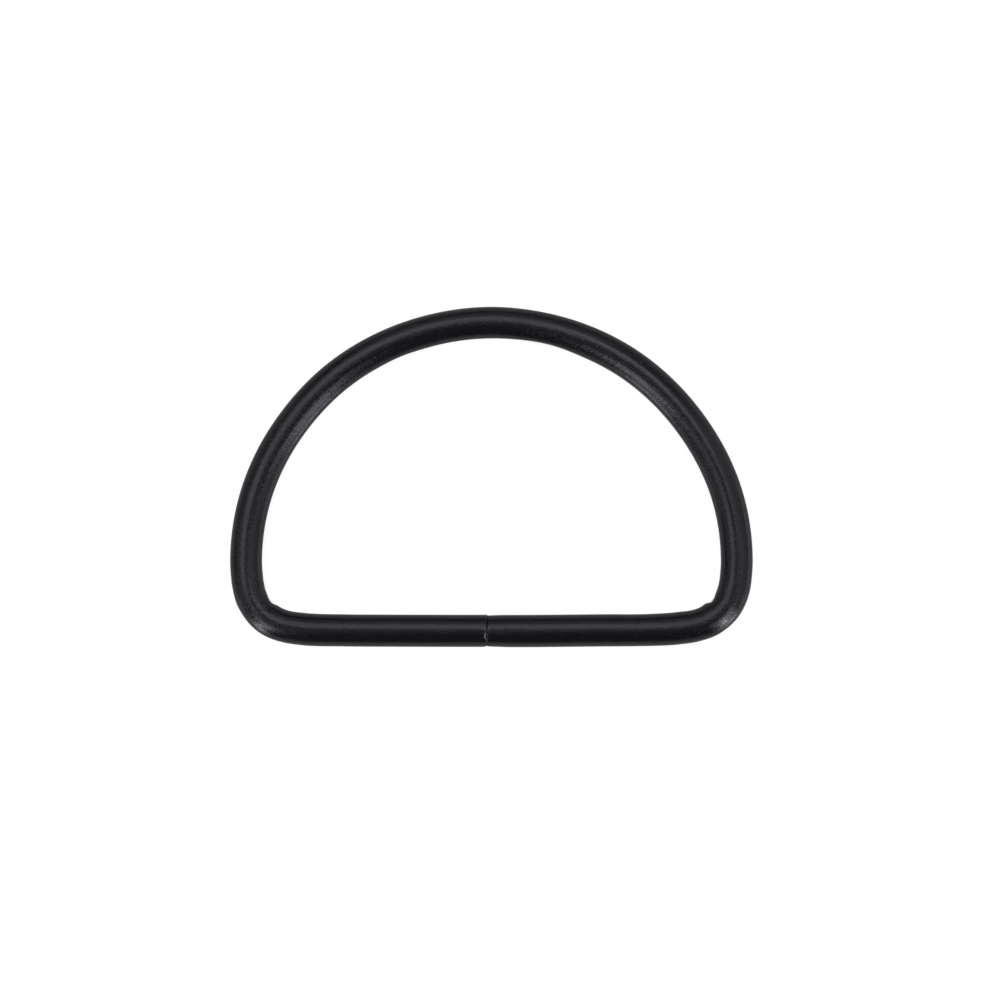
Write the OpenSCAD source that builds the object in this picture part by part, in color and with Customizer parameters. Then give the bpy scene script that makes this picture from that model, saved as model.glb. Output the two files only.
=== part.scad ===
// Wire D ring for strap, bent from one round wire with the butt seam left open in its bar.
// Lies flat on z = 0. The bar runs along X on the -Y side and the bow rises towards +Y.
// The origin is at the middle of the ring's outer width and depth, on the surface it lies on.

/* [Wire] */
// Diameter of the wire with its coating
wire_d = 3.5; // [2:0.1:5]

/* [Ring] */
// Clear width inside the ring at its widest, across which the strap passes
inner_width = 50; // [40:0.5:60]
// Clear depth inside the ring, from the bar to the top of the bow
inner_depth = 30.1; // [26:0.05:40]
// Bend radius of the two lower corners, at the middle of the wire
corner_r = 5.85; // [3:0.05:10]
// Bend radius of the gentle stretch from each corner into the bar, at the middle of the wire
lead_r = 96; // [20:1:150]

/* [Seam] */
// Gap between the two cut ends that meet in the bar
seam_gap = 0.18; // [0.05:0.01:0.6]
// Place of the gap along the bar, from its middle
seam_x = -0.43; // [-3:0.01:3]
// How much thinner than the wire a cut end is, across its diameter
end_narrowing = 0.13; // [0.02:0.01:0.4]
// Length over which the left end narrows
left_neck = 0.65; // [0.4:0.05:3]
// Length over which the right end narrows
right_neck = 2; // [0.4:0.05:3]
// Rounding of the edge of each cut end
end_round = 0.18; // [0.05:0.01:0.35]

/* [Pin marks] */
// Radius of the bending pin that dents the inside of each lower corner
pin_r = 0.8; // [0.4:0.05:1.2]
// Depth of that dent
pin_depth = 0.2; // [0.05:0.01:0.4]

/* [Hidden] */

wire_r = wire_d / 2;
end_r = (wire_d - end_narrowing) / 2;

// Headings of the wire where one bend passes into the next, counted from the top of the bow.
// They come from the 44-117-125 and 237-3116-3125 triangles, so that every sine and cosine is
// an exact decimal and the bends meet face to face without a step.
bow_end = atan2(117, 44);
side_end = 90 + atan2(237, 3116);
corner_end = 180 - atan2(237, 3116);
bar_heading = 180;

// Sideways and downward reach of the middle of the wire over one bend
function across(radius, from, to) = radius * (sin(to) - sin(from));
function down(radius, from, to) = radius * (cos(from) - cos(to));

// The bow's and the side's radii give the ring its clear width and depth together.
// They solve bow_r * bow_across + side_r * side_across = half_width
// and bow_r * bow_down + side_r * side_down = curve_depth.
depth = inner_depth + wire_d;
half_width = (inner_width + wire_d) / 2;
curve_depth = depth - down(corner_r, side_end, corner_end) - down(lead_r, corner_end, bar_heading);
bow_across = across(1, 0, bow_end);
bow_down = down(1, 0, bow_end);
side_across = across(1, bow_end, 90);
side_down = down(1, bow_end, side_end);
determinant = bow_across * side_down - side_across * bow_down;
bow_r = (half_width * side_down - curve_depth * side_across) / determinant;
side_r = (curve_depth * bow_across - half_width * bow_down) / determinant;

// Each bend is its radius at the middle of the wire and its headings at start and end
bow = [bow_r, 0, bow_end];
side = [side_r, bow_end, side_end];
corner = [corner_r, side_end, corner_end];
lead = [lead_r, corner_end, bar_heading];
bar_half = across(bow[0], bow[1], bow[2]) + across(side[0], side[1], side[2])
  + across(corner[0], corner[1], corner[2]) + across(lead[0], lead[1], lead[2]);

left_bar = bar_half + seam_x - seam_gap / 2;
right_bar = bar_half - seam_x - seam_gap / 2;
wire_fn = 48;
bend_fn = 180;
reach = 2 * (lead_r + inner_width);

// Everything behind the plane across the wire at the origin
module behind() translate([-reach, -reach, -reach]) cube([reach, 2 * reach, 2 * reach]);

// Puts its children where a bend ends, with the wire leaving the origin along +X again
module after(bend)
  translate([0, bend[0], 0]) rotate(bend[2]) rotate(-bend[1]) translate([0, -bend[0], 0]) children();

// One stretch of wire that leaves the origin along +X and turns left
module wire_bend(bend) {
  difference() {
    translate([0, bend[0], 0])
      rotate_extrude($fn = bend_fn) translate([bend[0], 0]) circle(r = wire_r, $fn = wire_fn);
    behind();
    after(bend) mirror([1, 0, 0]) behind();
  }
}

// Upright pin that bites into the inside of the corner, halfway round it
module pin_mark() {
  pin_place = corner_r - wire_r + pin_depth - pin_r;
  translate([0, corner_r, 0]) rotate((corner_end - side_end) / 2) translate([0, -pin_place, -wire_d])
    cylinder(r = pin_r, h = 2 * wire_d, $fn = wire_fn);
}

// Straight wire along +X whose far end narrows and has a rounded edge
module bar_end(length, neck) {
  edge = [for (turn = [0:30:90]) [
    end_r - end_round + end_round * cos(turn),
    length - end_round + end_round * sin(turn)
  ]];
  rotate([0, 90, 0]) rotate_extrude($fn = wire_fn)
    polygon(concat([[0, 0], [wire_r, 0], [wire_r, length - neck]], edge, [[0, length]]));
}

// Wire from the top of the bow round one side to its cut end in the bar
module half_ring(bar_length, neck) {
  wire_bend(bow);
  after(bow) {
    wire_bend(side);
    after(side) {
      difference() {
        wire_bend(corner);
        pin_mark();
      }
      after(corner) {
        wire_bend(lead);
        after(lead) bar_end(bar_length, neck);
      }
    }
  }
}

module wire_ring() {
  color([0.08, 0.08, 0.09]) translate([0, depth / 2, wire_r]) {
    rotate([180, 0, 0]) half_ring(right_bar, right_neck);
    rotate([0, 0, 180]) half_ring(left_bar, left_neck);
  }
}

wire_ring();
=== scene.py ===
import math

import bpy
import numpy as np
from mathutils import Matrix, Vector


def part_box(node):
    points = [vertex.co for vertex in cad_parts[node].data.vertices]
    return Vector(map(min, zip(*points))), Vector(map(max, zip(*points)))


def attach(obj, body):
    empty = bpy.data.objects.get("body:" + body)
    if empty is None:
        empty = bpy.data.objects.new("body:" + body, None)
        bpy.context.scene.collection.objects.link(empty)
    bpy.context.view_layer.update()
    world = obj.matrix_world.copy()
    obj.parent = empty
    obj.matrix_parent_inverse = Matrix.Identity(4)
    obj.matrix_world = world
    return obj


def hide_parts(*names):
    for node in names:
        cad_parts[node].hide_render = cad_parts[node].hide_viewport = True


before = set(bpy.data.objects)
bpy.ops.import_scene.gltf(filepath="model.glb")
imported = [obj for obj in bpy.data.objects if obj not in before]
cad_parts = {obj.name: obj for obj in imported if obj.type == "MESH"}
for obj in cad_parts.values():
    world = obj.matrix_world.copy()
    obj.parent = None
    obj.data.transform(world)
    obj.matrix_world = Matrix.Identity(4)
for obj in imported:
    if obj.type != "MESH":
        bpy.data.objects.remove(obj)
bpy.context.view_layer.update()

# Lengths are in metres, angles in radians and places along the wire in millimetres from the top of the
# bow, clockwise positive. Over the wire's section, 1 is its outer side and -1 its inner side.
MM = 0.001
MICRON = 0.000001

# The frame gives the wire's thickness and the ring's outer width and depth
box_low, box_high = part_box("wire_ring")
WIRE_R = (box_high.z - box_low.z) / 2
HALF_WIDTH = (box_high.x - box_low.x) / 2 - WIRE_R
DEPTH = box_high.y - box_low.y - 2 * WIRE_R
GIRTH = 2 * math.pi * WIRE_R
# What it doesn't give: the bend radii of the corners and of the stretches from there into the bar, and
# the place of the seam
CORNER_R = 5.85 * MM
LEAD_R = 96 * MM
SEAM_X = -0.43 * MM

# Headings of the wire where one bend passes into the next, counted clockwise from the top of the bow
BOW_END = math.atan2(117, 44)
SIDE_END = math.pi / 2 + math.atan2(237, 3116)
CORNER_END = math.pi - math.atan2(237, 3116)
BAR_HEADING = math.pi


# Sideways and downward reach of the middle line over one bend
def across(radius, start, end):
    return radius * (math.sin(end) - math.sin(start))


def down(radius, start, end):
    return radius * (math.cos(start) - math.cos(end))


def bow_and_side_radii():
    """The two radii that give the ring its width and depth together."""
    curve_depth = DEPTH - down(CORNER_R, SIDE_END, CORNER_END) - down(LEAD_R, CORNER_END, BAR_HEADING)
    bow_across = across(1, 0, BOW_END)
    bow_down = down(1, 0, BOW_END)
    side_across = across(1, BOW_END, math.pi / 2)
    side_down = down(1, BOW_END, SIDE_END)
    determinant = bow_across * side_down - side_across * bow_down
    bow_r = (HALF_WIDTH * side_down - curve_depth * side_across) / determinant
    side_r = (curve_depth * bow_across - HALF_WIDTH * bow_down) / determinant
    return bow_r, side_r


BOW_R, SIDE_R = bow_and_side_radii()
BENDS = [
    (BOW_R, 0.0, BOW_END),
    (SIDE_R, BOW_END, SIDE_END),
    (CORNER_R, SIDE_END, CORNER_END),
    (LEAD_R, CORNER_END, BAR_HEADING),
]
CURVE_LENGTH = sum(radius * (end - start) for radius, start, end in BENDS)
BAR_HALF = sum(across(*bend) for bend in BENDS)
LEFT_END = (CURVE_LENGTH + BAR_HALF + SEAM_X) / MM
RIGHT_END = (CURVE_LENGTH + BAR_HALF - SEAM_X) / MM


def middle(distance):
    """Place and heading of the ideal middle line that far clockwise from the top of the bow."""
    x = 0.0
    y = DEPTH / 2
    for radius, start, end in BENDS:
        length = radius * (end - start)
        if distance <= length:
            heading = start + distance / radius
            return x + across(radius, start, heading), y - down(radius, start, heading), heading
        x += across(radius, start, end)
        y -= down(radius, start, end)
        distance -= length
    return x - distance, y, BAR_HEADING


def eased(table, place):
    """Value of a table of turning points at a place, with a smooth passage from each row to the next."""
    if place <= table[0][0]:
        return table[0][1]
    for (x0, y0), (x1, y1) in zip(table, table[1:]):
        if place <= x1:
            t = (place - x0) / (x1 - x0)
            return y0 + (y1 - y0) * t * t * (3 - 2 * t)
    return table[-1][1]


# How far the real wire departs outward from its ideal line on each side: distance from the top of the
# bow and offset, in mm
RIGHT_SWAY = [
    (0, 0.03), (4, 0.01), (16, 0.095), (25.5, 0.04), (32, 0.07), (41, 0.01), (44, -0.06), (46.8, 0.0),
    (48.6, -0.05), (50.5, -0.155), (53.5, -0.055), (57.5, -0.09), (70.3, 0.0), (72.3, -0.01),
]
LEFT_SWAY = [
    (0, 0.03), (6, 0.01), (18.5, 0.09), (25, 0.045), (30, 0.06), (41, 0.01), (44, -0.06), (45.6, 0.03),
    (48, 0.11), (51, -0.035), (53, 0.03), (57, -0.06), (70, -0.03),
]
# How far its inner surface departs outward beyond that: a flat stretch in the bow, and in the corner the
# dent of the bending pin with the metal that stands proud past it
RIGHT_INSIDE = [
    (0, 0.05), (6.5, 0.18), (12, 0.0), (45.3, 0.0), (47.1, 0.21), (48.1, -0.10), (50.3, -0.015),
    (52.3, -0.06), (57, 0.0), (60, -0.03),
]
LEFT_INSIDE = [
    (0, 0.04), (8, 0.03), (11, 0.08), (14, 0.02), (20, 0.0), (45.3, 0.0), (47.1, 0.17), (48.35, -0.09),
    (50.5, -0.03), (52.8, -0.05), (57, -0.015),
]
# Places of the two dents
DENTS = (-47.0, 47.05)
# Distance between rings of vertices at the cut ends, at the dents and elsewhere, in mm
END_SPACING = 0.03
DENT_SPACING = 0.07
PLAIN_SPACING = 0.14
# How far from an end and from a dent the closer rings reach, and the least distance before the last ring
END_REACH = 0.45
DENT_REACH = 2.2
LAST_SPACING = 0.02


def spacing(place):
    """Distance to the next ring of vertices, smaller at the dents and the cut ends."""
    if min(place + LEFT_END, RIGHT_END - place) < END_REACH:
        return END_SPACING
    if min(abs(place - dent) for dent in DENTS) < DENT_REACH:
        return DENT_SPACING
    return PLAIN_SPACING


def station_places():
    """Places of the rings of vertices along the wire."""
    places = []
    place = -LEFT_END
    while place < RIGHT_END - LAST_SPACING:
        places.append(place)
        place += spacing(place)
    return places + [RIGHT_END]


# The crooked lines of the two cut ends: place across the wire and distance from the seam's middle in mm
LEFT_EDGE = [(-1.0, -0.01), (-0.6, -0.02), (-0.42, -0.04), (-0.15, -0.085), (0.34, -0.085), (0.8, -0.06)]
RIGHT_EDGE = [(-0.85, 0.02), (-0.6, 0.06), (-0.42, 0.0), (-0.15, -0.065), (0.34, -0.055), (0.8, -0.02)]
# Below the wire's middle both step aside by this much, in full from a third of its radius down, so that
# nothing shows through the seam
SEAM_STEP = 0.2
STEP_STEEPNESS = 3
# Away from the seam both departures fade out over this length in mm
SEAM_ZONE = 1.2
# Each end thins by this much over this length, and has an edge as round as this, in mm
LEFT_CUT = (0.05, 0.65, 0.07)
RIGHT_CUT = (0.07, 3.0, 0.07)
# The left end has a small flat where it was filed: its normal along the wire, outward and up, and
# its depth in mm
FILED_NORMAL = (0.365, 0.312, 0.877)
FILED_DEPTH = 0.1
# Where the surface faces the flat less than this, the flat lies outside the wire and cuts nothing off
LEAST_FACING = 0.1
# Its outer edge is broken off a little, by depth and length, and a low burr stands on its inner side,
# by height, distance from the end and half length, in mm
BROKEN_EDGE = (0.05, 0.42)
BURR = (0.045, 0.22, 0.14)


def patch(distance, half_width):
    """One at the middle, nought from half_width on, smooth between."""
    t = min(abs(distance) / half_width, 1.0)
    return (1 - t * t) ** 2


def filed_radius(from_end, section, height):
    """How far from the wire's middle the filed flat of the left end lies there, in mm."""
    along, out, up = FILED_NORMAL
    nearest = WIRE_R / MM - LEFT_CUT[0] - FILED_DEPTH
    facing = max(out * section + up * height, LEAST_FACING)
    return (nearest * math.hypot(out, up) + along * from_end) / facing


def thinning(from_end, section, height, left):
    """How much smaller the radius is that far from a cut end, in mm."""
    amount, length, rounding = LEFT_CUT if left else RIGHT_CUT
    t = min(from_end / length, 1.0)
    missing = max(rounding - from_end, 0.0)
    less = amount * (1 - t) ** 2
    if left:
        less = max(less, WIRE_R / MM - filed_radius(from_end, section, height))
        less += BROKEN_EDGE[0] * max(section, 0.0) ** 4 * max(1 - from_end / BROKEN_EDGE[1], 0.0) ** 2
        less -= BURR[0] * max(-section, 0.0) ** 2 * patch(from_end - BURR[1], BURR[2])
    return less + rounding - math.sqrt(rounding ** 2 - missing ** 2)


def seam_shift(from_end, section, height, left):
    """How far the wire is pushed towards +X there so that its end follows its crooked line, in mm."""
    fade = max(1 - from_end / SEAM_ZONE, 0.0) ** 2
    edge = eased(LEFT_EDGE if left else RIGHT_EDGE, section)
    step = SEAM_STEP * min(max(-STEP_STEEPNESS * height, 0.0), 1.0)
    return fade * (edge + step)


# Vertices in one ring round the wire
AROUND = 64


def ring_of_points(place):
    """Vertices of one ring round the wire, from the outer side over the top."""
    left = place < 0
    side = -1.0 if left else 1.0
    x, y, heading = middle(abs(place) * MM)
    outward = np.array([side * math.sin(heading), math.cos(heading)])
    sway = eased(LEFT_SWAY if left else RIGHT_SWAY, abs(place)) * MM
    inside = eased(LEFT_INSIDE if left else RIGHT_INSIDE, abs(place)) * MM
    centre = np.array([side * x, y]) + outward * sway
    from_end = min(place + LEFT_END, RIGHT_END - place)
    points = []
    for k in range(AROUND):
        section = math.cos(2 * math.pi * k / AROUND)
        height = math.sin(2 * math.pi * k / AROUND)
        radius = WIRE_R - thinning(from_end, section, height, left) * MM
        reach = radius * section
        if inside > 0:
            reach = max(reach, inside - radius)
        elif section < 0:
            reach += inside * section ** 2
        spot = centre + outward * reach
        shift = seam_shift(from_end, section, height, left) * MM
        points.append((spot[0] + shift, spot[1], WIRE_R + radius * height))
    return points


# A fine ridge runs along the top of the wire, its pale colour a painted highlight: place along it,
# place across it and how clear it is
RIDGE_PLACE = [
    (-56, -0.25), (-49, -0.2), (-44, -0.13), (-42, -0.1), (-38, 0.27), (16, 0.27), (24, 0.2), (36, 0.1),
]
RIDGE_CLEAR = [
    (-50, 0.0), (-47, 0.8), (-45, 0.8), (-42.5, 0.0), (-36, 0.0), (-20, 0.4), (4, 0.15), (12, 1.0),
    (24, 1.0), (36, 0.0),
]
# How coarse the coating is along the wire: where it was bent most, it is grainy
COARSE = [
    (-54, 0.1), (-50, 0.35), (-47.2, 1.0), (-39, 0.45), (-26, 0.6), (-20, 0.5), (-13, 0.25), (-1, 0.25),
    (4, 0.5), (18, 0.5), (38, 0.3), (47.2, 1.0), (50, 0.35), (53, 0.1),
]
# Worn spots: middle and half length along the wire, middle and half width across it, and how worn
WORN_SPOTS = [
    (-48.0, 1.6, 0.55, 0.36, 0.8),
    (47.6, 1.8, 0.56, 0.36, 1.0),
    (73.15, 0.3, -0.1, 0.18, 0.8),
    (-72.42, 0.16, 0.8, 0.25, 0.4),
]
# Marks in the middle of a cut face: far from the ridge, neither coarse nor worn
PLAIN_MARKS = (1.0, 0.0, 0.0, 0.0)


def surface_marks(place, turn):
    """Distance to the ridge in mm, how clear it is, and how coarse and how worn the coating is."""
    section = math.cos(turn)
    top = float(math.sin(turn) > 0)
    ridge_turn = math.acos(eased(RIDGE_PLACE, place))
    gap = WIRE_R / MM * math.sin(turn - ridge_turn)
    worn = 0.0
    for along, half_length, over, half_width, much in WORN_SPOTS:
        worn = max(worn, much * patch(place - along, half_length) * patch(section - over, half_width))
    return gap, top * eased(RIDGE_CLEAR, place), eased(COARSE, place), top * worn


def coated_wire():
    """The whole wire as one swept tube with closed, rounded ends."""
    places = station_places()
    rings = [ring_of_points(place) for place in places]
    vertices = [point for ring in rings for point in ring]
    turns = [2 * math.pi * k / AROUND for k in range(AROUND)]
    marks = [surface_marks(place, turn) for place in places for turn in turns]
    last = len(places) - 1
    faces = []
    for i in range(last):
        for k in range(AROUND):
            n = (k + 1) % AROUND
            faces.append((i * AROUND + k, i * AROUND + n, (i + 1) * AROUND + n, (i + 1) * AROUND + k))
    side_faces = len(faces)
    for i in (0, last):
        tip = len(vertices)
        vertices.append(tuple(np.mean(rings[i], axis=0)))
        marks.append(PLAIN_MARKS)
        for k in range(AROUND):
            edge = (i * AROUND + k, i * AROUND + (k + 1) % AROUND)
            faces.append((edge[1], edge[0], tip) if i == 0 else (edge[0], edge[1], tip))
    mesh = bpy.data.meshes.new("coated_wire")
    mesh.from_pydata(vertices, [], faces)
    mesh.polygons.foreach_set("use_smooth", [index < side_faces for index in range(len(faces))])
    mesh.polygons.foreach_set("material_index", [int(index >= side_faces) for index in range(len(faces))])
    for name, values in zip(("ridge_gap", "ridge_clear", "coarse", "worn"), zip(*marks)):
        mesh.attributes.new(name, "FLOAT", "POINT").data.foreach_set("value", values)
    unrolled = mesh.uv_layers.new(name="unrolled")
    for face in mesh.polygons[:side_faces]:
        i, k = divmod(face.index, AROUND)
        corners = ((i, k), (i, k + 1), (i + 1, k + 1), (i + 1, k))
        for loop, (station, turn) in zip(face.loop_indices, corners):
            unrolled.data[loop].uv = (places[station] * MM / GIRTH, turn / AROUND)
    mesh.update()
    wire = bpy.data.objects.new("coated_wire", mesh)
    bpy.context.scene.collection.objects.link(wire)
    return wire


def add(tree, kind, inputs, **settings):
    """New node; its inputs are numbers, colours or the outputs of other nodes."""
    node = tree.nodes.new(kind)
    for name, value in settings.items():
        setattr(node, name, value)
    for name, value in inputs.items():
        if isinstance(value, bpy.types.NodeSocket):
            tree.links.new(value, node.inputs[name])
        else:
            node.inputs[name].default_value = value
    return node


def calc(tree, operation, a, b):
    return add(tree, "ShaderNodeMath", {0: a, 1: b}, operation=operation).outputs[0]


def times(tree, a, b):
    return calc(tree, "MULTIPLY", a, b)


def plus(tree, *terms):
    total = terms[0]
    for term in terms[1:]:
        total = calc(tree, "ADD", total, term)
    return total


def ramp(tree, value, low, high, to_low, to_high):
    """Straight passage from to_low to to_high as the value goes from low to high."""
    span = {"Value": value, "From Min": low, "From Max": high, "To Min": to_low, "To Max": to_high}
    return add(tree, "ShaderNodeMapRange", span).outputs["Result"]


def noise(tree, place, per_mm, detail):
    """Noise that goes evenly below and above nought, about one at its strongest."""
    node = add(tree, "ShaderNodeTexNoise", {"Vector": place, "Scale": per_mm, "Detail": detail})
    return ramp(tree, node.outputs["Fac"], 0.25, 0.75, -1.0, 1.0)


def blended(tree, factor, first, second):
    """Colour that goes from the first to the second as the factor goes from nought to one."""
    inputs = {"Factor": factor, "A": first, "B": second}
    return add(tree, "ShaderNodeMix", inputs, data_type="RGBA").outputs["Result"]


def attribute(tree, name):
    return add(tree, "ShaderNodeAttribute", {}, attribute_name=name).outputs["Fac"]


def stretched(tree, along_scale, around_scale):
    """The unrolled surface in mm, with its length and girth scaled apart."""
    unrolled = add(tree, "ShaderNodeUVMap", {}, uv_map="unrolled").outputs["UV"]
    girth = GIRTH / MM
    scale = (along_scale * girth, around_scale * girth, 1)
    return add(tree, "ShaderNodeMapping", {"Vector": unrolled, "Scale": scale}).outputs["Vector"]


def millimetres(tree):
    """Place on the object, in mm."""
    place = add(tree, "ShaderNodeTexCoord", {}).outputs["Object"]
    return add(tree, "ShaderNodeVectorMath", {0: place, "Scale": 1 / MM}, operation="SCALE").outputs[0]


# A nib falls off between these distances from its middle, in cells, and only cells with a chance number
# above these have one
NIB_EDGE = (0.03, 0.09)
NIB_CHANCE = (0.72, 0.78)
CELLS_PER_MM = 1.1


def specks(tree, place):
    """One on small round nibs of dust under the coating, nought elsewhere."""
    cells = add(tree, "ShaderNodeTexVoronoi", {"Vector": place, "Scale": CELLS_PER_MM})
    chosen = add(tree, "ShaderNodeSeparateColor", {"Color": cells.outputs["Color"]}).outputs["Red"]
    dot = ramp(tree, cells.outputs["Distance"], *NIB_EDGE, 1.0, 0.0)
    return times(tree, dot, ramp(tree, chosen, *NIB_CHANCE, 0.0, 1.0))


# Relief of the coating, in microns
FINEST_GRAIN = 3.2
COARSEST_GRAIN = 6.5
PEEL = 5.0
DRAWN = 2.4
SCRATCH = 4.0
RIDGE = 9.0
NIB = 6.0
# How dense it is, and for the drawn lines and the scratches how dense along the wire and round it
GRAIN_PER_MM = 4.2
PEEL_PER_MM = 0.7
DRAWN_PER_MM = (0.25, 5)
SCRATCHES_PER_MM = (1.2, 5.5)
# Half width of the ridge in mm, and how pale the ridge (a painted highlight) and the dust nibs are
RIDGE_HALF_WIDTH = 0.09
RIDGE_PAINTED_HIGHLIGHT = 0.8
PALE_NIB = 0.3
# On a worn spot metal shows through more, the higher its grain and scratches are: the least and greatest
# height, and how far it shows at each
RUBBED = (-0.5, 0.7, 0.05, 1.0)
# The tops of coarse grain show it too, from the first of these heights on, and this far at the second
GRAIN_TOPS = (0.15, 0.8)
THIN_ON_GRAIN = 0.2
# Roughness, and how much the peel, the grain and wear change it
ROUGHNESS = 0.235
PEEL_ROUGHNESS = 0.02
GRAIN_ROUGHNESS = 0.045
WORN_ROUGHNESS = -0.06
# Colours of the coating, of dust nibs and the ridge's painted highlight, of bare metal, and the tint of
# what it mirrors
BLACK = (0.0056, 0.0058, 0.0072, 1)
NIB_DUST_AND_HIGHLIGHT_GREY = (0.06, 0.06, 0.066, 1)
BARE = (0.14, 0.14, 0.15, 1)
TINT = (0.88, 0.87, 1, 1)


def coating():
    """Satin black coating with orange peel, grain, traces of drawing, a fine ridge with a painted
    highlight, nibs and worn spots.
    """
    material = bpy.data.materials.new("black_coating")
    material.use_nodes = True
    tree = material.node_tree
    shader = tree.nodes["Principled BSDF"]
    place = millimetres(tree)
    coarse = attribute(tree, "coarse")
    grain = noise(tree, place, GRAIN_PER_MM, 3)
    peel = noise(tree, place, PEEL_PER_MM, 2)
    drawn = noise(tree, stretched(tree, *DRAWN_PER_MM), 1, 2)
    scratches = noise(tree, stretched(tree, *SCRATCHES_PER_MM), 1, 3)
    nibs = specks(tree, place)
    ridge_gap = calc(tree, "ABSOLUTE", attribute(tree, "ridge_gap"), 0)
    ridge_line = ramp(tree, ridge_gap, 0.0, RIDGE_HALF_WIDTH, 1.0, 0.0)
    ridge = times(tree, ridge_line, attribute(tree, "ridge_clear"))
    rubbed = ramp(tree, plus(tree, scratches, grain), *RUBBED)
    spots = times(tree, attribute(tree, "worn"), rubbed)
    thin = times(tree, coarse, ramp(tree, grain, *GRAIN_TOPS, 0.0, THIN_ON_GRAIN))
    worn = calc(tree, "MAXIMUM", spots, thin)

    grain_height = ramp(tree, coarse, 0, 1, FINEST_GRAIN, COARSEST_GRAIN)
    heights = plus(
        tree, times(tree, grain, grain_height), times(tree, peel, PEEL), times(tree, drawn, DRAWN),
        times(tree, scratches, times(tree, coarse, SCRATCH)), times(tree, ridge, RIDGE),
        times(tree, nibs, NIB),
    )
    bump = add(tree, "ShaderNodeBump", {"Height": heights, "Distance": MICRON, "Strength": 1.0})
    tree.links.new(bump.outputs["Normal"], shader.inputs["Normal"])

    rough = plus(
        tree, ROUGHNESS, times(tree, peel, PEEL_ROUGHNESS), times(tree, grain, GRAIN_ROUGHNESS),
        times(tree, worn, WORN_ROUGHNESS),
    )
    tree.links.new(rough, shader.inputs["Roughness"])

    # Paler on the dust nibs, and on the ridge as a painted highlight
    nib_dust_and_ridge_highlight = calc(tree, "MAXIMUM", times(tree, ridge, RIDGE_PAINTED_HIGHLIGHT), times(tree, nibs, PALE_NIB))
    colour = blended(tree, worn, blended(tree, nib_dust_and_ridge_highlight, BLACK, NIB_DUST_AND_HIGHLIGHT_GREY), BARE)
    tree.links.new(colour, shader.inputs["Base Color"])
    tree.links.new(worn, shader.inputs["Metallic"])
    shader.inputs["Specular IOR Level"].default_value = 0.5
    shader.inputs["Specular Tint"].default_value = TINT
    return material


# Relief of the torn metal of a cut face in microns, how dense it is, its least and greatest roughness and
# its colour
TEARS = 12.0
TEARS_PER_MM = 3.5
TORN_ROUGHNESS = (0.55, 0.85)
TORN_METAL = (0.006, 0.006, 0.0065, 1)


def cut_face():
    """Dull, dark face of the sheared wire."""
    material = bpy.data.materials.new("sheared_end")
    material.use_nodes = True
    tree = material.node_tree
    shader = tree.nodes["Principled BSDF"]
    tears = noise(tree, millimetres(tree), TEARS_PER_MM, 4)
    bump = add(tree, "ShaderNodeBump", {"Height": times(tree, tears, TEARS), "Distance": MICRON})
    tree.links.new(bump.outputs["Normal"], shader.inputs["Normal"])
    tree.links.new(ramp(tree, tears, -1, 1, *TORN_ROUGHNESS), shader.inputs["Roughness"])
    shader.inputs["Base Color"].default_value = TORN_METAL
    shader.inputs["Specular IOR Level"].default_value = 0.1
    return material


# The photo's view at the height of the wire's middle: its width, the place under the camera, and the
# camera's distance
VIEW_WIDTH = 109.05 * MM
VIEW_MIDDLE = (0.932 * MM, -2.492 * MM)
CAMERA_DISTANCE = 0.6


def camera():
    """Camera straight above, with the ring where the photo has it."""
    data = bpy.data.cameras.new("camera")
    eye = bpy.data.objects.new("camera", data)
    bpy.context.scene.collection.objects.link(eye)
    data.sensor_width = 36
    data.lens = data.sensor_width * CAMERA_DISTANCE / VIEW_WIDTH
    eye.location = (*VIEW_MIDDLE, WIRE_R + CAMERA_DISTANCE)
    data.clip_start = 0.01
    data.clip_end = 20
    bpy.context.scene.camera = eye


def softbox(name, place, aim, size, radiance):
    """Rectangular area light that the camera doesn't see, as bright as that all over."""
    data = bpy.data.lights.new(name, "AREA")
    data.shape = "RECTANGLE"
    data.size, data.size_y = size
    data.energy = radiance * math.pi * size[0] * size[1]
    light = bpy.data.objects.new(name, data)
    light.location = place
    light.rotation_mode = "QUATERNION"
    light.rotation_quaternion = (Vector(aim) - Vector(place)).to_track_quat("-Z", "Y")
    light.visible_camera = False
    bpy.context.scene.collection.objects.link(light)


def toward(azimuth, distance, height):
    """Point at that azimuth, in degrees from +X towards +Y."""
    turn = math.radians(azimuth)
    return distance * math.cos(turn), distance * math.sin(turn), height


# Brightness of the tent above the horizon, and of the white table that the underside of the wire mirrors,
# and half the height of the passage between them
ABOVE_LEVEL = 0.03
BELOW_LEVEL = 0.36
HORIZON = 0.02


def tent_world():
    """Nearly dark above, pale below the horizon."""
    world = bpy.data.worlds.new("studio")
    bpy.context.scene.world = world
    world.use_nodes = True
    tree = world.node_tree
    direction = add(tree, "ShaderNodeTexCoord", {}).outputs["Generated"]
    height = add(tree, "ShaderNodeSeparateXYZ", {"Vector": direction}).outputs["Z"]
    level = ramp(tree, height, -HORIZON, HORIZON, BELOW_LEVEL, ABOVE_LEVEL)
    tree.links.new(level, tree.nodes["Background"].inputs["Strength"])
    tree.nodes["Background"].inputs["Color"].default_value = (1, 1, 1, 1)


# Half the floor's width, how bright it shines, the reach of the painted shade that dims its glow under
# the wire and how finely that is reckoned, and the paper's own colour
FLOOR_HALF = 3.0
FLOOR_LEVEL = 0.9
PAINTED_SHADE_REACH = 0.7 * MM
PAINTED_SHADE_SAMPLES = 5
PAPER = (0.25, 0.25, 0.25, 1)


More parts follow.
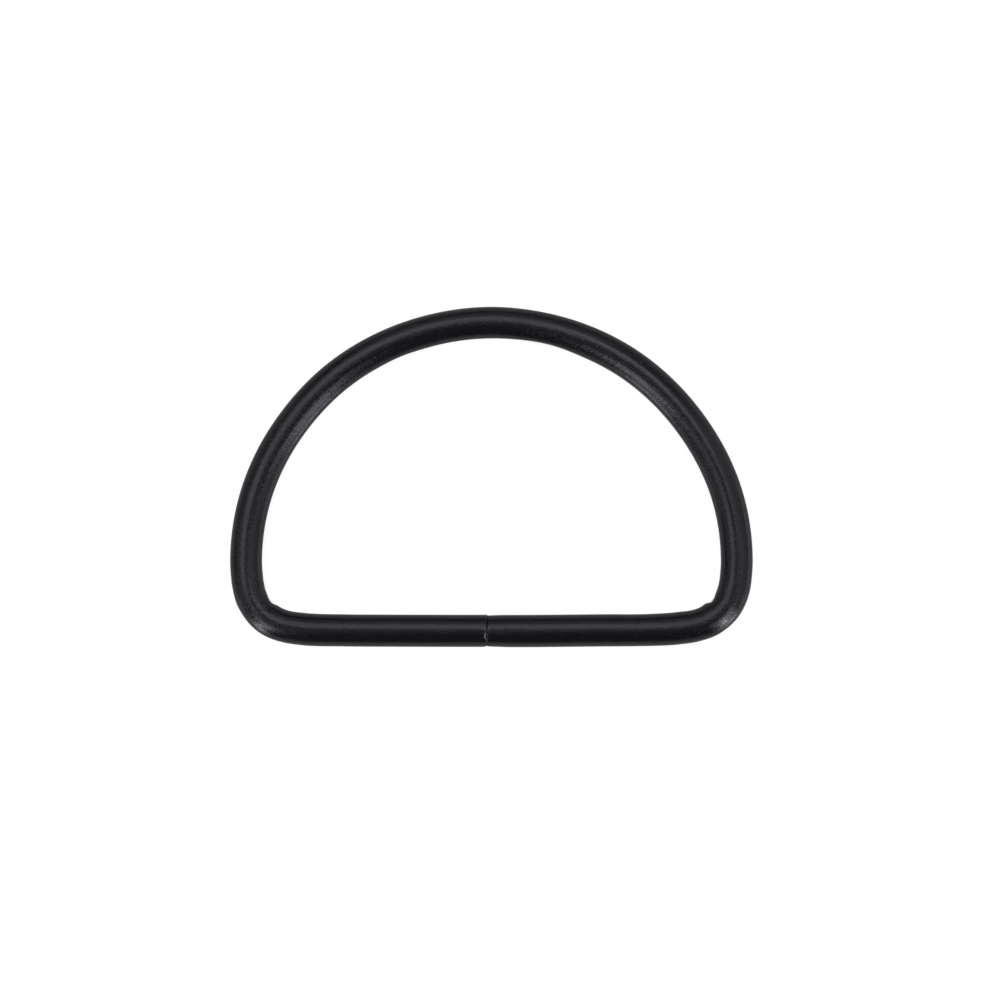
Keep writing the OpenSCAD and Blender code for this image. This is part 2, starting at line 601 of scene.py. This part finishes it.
def white_floor():
    """Evenly lit white floor, as on a light table, a little darker right under the wire by painted shade.
    """
    mesh = bpy.data.meshes.new("floor")
    corners = [(FLOOR_HALF * x, FLOOR_HALF * y, 0) for x, y in ((-1, -1), (1, -1), (1, 1), (-1, 1))]
    mesh.from_pydata(corners, [], [(0, 1, 2, 3)])
    floor = bpy.data.objects.new("floor", mesh)
    bpy.context.scene.collection.objects.link(floor)
    floor.visible_glossy = False
    floor.visible_shadow = False
    paper = bpy.data.materials.new("white_paper")
    paper.use_nodes = True
    tree = paper.node_tree
    shader = tree.nodes["Principled BSDF"]
    # Painted shade: the floor's glow is dimmed where the wire is near it
    painted_shade = add(tree, "ShaderNodeAmbientOcclusion", {"Distance": PAINTED_SHADE_REACH}, samples=PAINTED_SHADE_SAMPLES)
    tree.links.new(times(tree, painted_shade.outputs["AO"], FLOOR_LEVEL), shader.inputs["Emission Strength"])
    shader.inputs["Emission Color"].default_value = (1, 1, 1, 1)
    shader.inputs["Base Color"].default_value = PAPER
    shader.inputs["Roughness"].default_value = 0.9
    shader.inputs["Specular IOR Level"].default_value = 0.0
    mesh.materials.append(paper)


def studio():
    """Soft light tent with a nearly dark front between two narrow lights."""
    tent_world()
    white_floor()
    softbox("roof", (-0.055, 0.48, 0.7), (-0.055, 0.48, 0), (0.79, 0.62), 1.25)
    softbox("roof_side", (-0.65, 0.48, 0.7), (-0.65, 0.48, 0), (0.4, 0.62), 0.92)
    softbox("roof_bright", (0.185, 0.135, 0.72), (0.185, 0.135, 0), (0.2, 0.26), 1.3)
    softbox("roof_end", (0.6, 0.475, 0.7), (0.6, 0.475, 0), (0.5, 0.63), 0.12)
    softbox("roof_left", (-0.355, 0.01, 0.7), (-0.355, 0.01, 0), (0.45, 0.36), 1.2)
    softbox("roof_right", (0.5, 0.0, 0.7), (0.5, 0.0, 0), (0.7, 0.2), 0.39)
    softbox("roof_front", (-0.105, -0.19, 0.7), (-0.105, -0.19, 0), (0.09, 0.18), 0.4)
    softbox("roof_middle", (0, 0.0, 0.9), (0, 0, 0), (0.36, 0.3), 0.16)
    softbox("back_wall", (0, 1.2, 0.65), (0, 0, 0.65), (1.6, 0.7), 0.36)
    softbox("back_left", toward(152, 0.9, 0.2), (0, 0, 0), (0.5, 0.4), 0.26)
    softbox("back_right", toward(35, 0.9, 0.2), (0, 0, 0), (0.6, 0.4), 0.25)
    softbox("left_wall", toward(187, 0.9, 0.72), (0, 0, 0), (0.9, 1.0), 0.37)
    softbox("right_wall", toward(5, 0.9, 0.7), (0, 0, 0), (1.2, 1.1), 0.44)
    softbox("right_low", toward(355, 0.9, -0.12), (0, 0, -0.12), (0.8, 0.4), 0.45)
    softbox("right_low_back", toward(32, 0.9, -0.12), (0, 0, -0.12), (0.4, 0.4), 0.17)
    softbox("front_low", toward(270, 0.9, -0.26), (0, 0, -0.26), (0.3, 0.3), 0.14)
    softbox("front_left", toward(233, 0.25, 0.265), (0, 0, 0.265), (0.066, 0.31), 3.75)
    softbox("front_left_middle", toward(229, 0.25, 0.07), (0, 0, 0.07), (0.06, 0.08), 1.1)
    softbox("front_left_low", toward(229.5, 0.25, -0.02), (0, 0, -0.02), (0.06, 0.1), 3.8)
    softbox("front_left_side", toward(203, 0.6, 0.0), (0, 0, 0), (0.18, 0.5), 0.44)
    softbox("front_right", toward(316.5, 0.25, 0.243), (0, 0, 0.243), (0.066, 0.384), 3.3)
    softbox("front_right_low", toward(317.5, 0.25, -0.03), (0, 0, -0.03), (0.07, 0.12), 2.9)
    softbox("front_right_side", toward(337, 0.6, 0.0), (0, 0, 0), (0.18, 0.5), 0.25)


camera()
studio()
wire = coated_wire()
wire.data.materials.append(coating())
wire.data.materials.append(cut_face())
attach(wire, "root")
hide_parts("wire_ring")
bpy.context.scene.view_settings.view_transform = "Standard"
